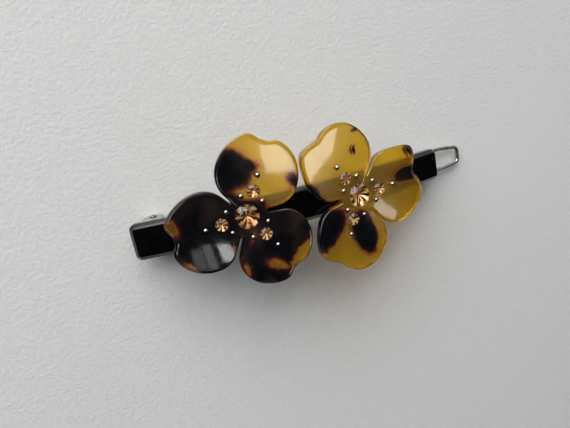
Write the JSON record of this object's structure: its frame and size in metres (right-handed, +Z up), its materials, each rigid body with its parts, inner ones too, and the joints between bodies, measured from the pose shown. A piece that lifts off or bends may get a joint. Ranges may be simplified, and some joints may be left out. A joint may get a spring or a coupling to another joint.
{
  "type": "barrette",
  "caption": "Hair barrette: a bowed acetate bar with two stone-set three-petal flowers, closed by a hinged spring-wire loop that snaps over a ball catch.",
  "frame": {"origin": "crown of the bar's underside, at the middle of its length and width, where the hair lies against it", "axes": "+X along the bar from the hinge towards the loop's closed end, +Y across the bar, +Z up through the flowers"},
  "size_m": [0.0895, 0.036, 0.0165],
  "materials": {
    "black_acetate": "polished black sheet, chamfered edges",
    "tortoiseshell_acetate": "polished translucent honey sheet with near-black and red-brown blotches",
    "topaz_stone": "faceted light topaz, foil backed",
    "bright_steel": "bright polished",
    "nickel_silver": "drawn and stamped, lightly polished"
  },
  "bodies": {
    "bar_body": {"bar": "black_acetate", "left_flower": "tortoiseshell_acetate", "right_flower": "tortoiseshell_acetate", "left_centre_stone": "topaz_stone", "right_centre_stone": "topaz_stone", "left_petal_stone_1": "topaz_stone", "left_petal_stone_2": "topaz_stone", "left_petal_stone_3": "topaz_stone", "right_petal_stone_1": "topaz_stone", "right_petal_stone_2": "topaz_stone", "right_petal_stone_3": "topaz_stone", "left_ball_pin_1": "bright_steel", "left_ball_pin_2": "bright_steel", "left_ball_pin_3": "bright_steel", "left_ball_pin_4": "bright_steel", "left_ball_pin_5": "bright_steel", "left_ball_pin_6": "bright_steel", "left_ball_pin_7": "bright_steel", "left_ball_pin_8": "bright_steel", "left_ball_pin_9": "bright_steel", "right_ball_pin_1": "bright_steel", "right_ball_pin_2": "bright_steel", "right_ball_pin_3": "bright_steel", "right_ball_pin_4": "bright_steel", "right_ball_pin_5": "bright_steel", "right_ball_pin_6": "bright_steel", "right_ball_pin_7": "bright_steel", "right_ball_pin_8": "bright_steel", "right_ball_pin_9": "bright_steel", "hinge_bracket": "nickel_silver", "hinge_rivets": "nickel_silver", "catch_plate": "nickel_silver", "catch_rivets": "nickel_silver", "catch_ball": "bright_steel"},
    "wire": {"wire_loop": "nickel_silver"}
  },
  "joints": [
    {"name": "wire_swing", "type": "hinge", "parent": "bar_body", "child": "wire", "pos_m": [-0.03365, 0, -0.00699], "axis": [0, 1, 0], "range_deg": [0, 80]}
  ]
}
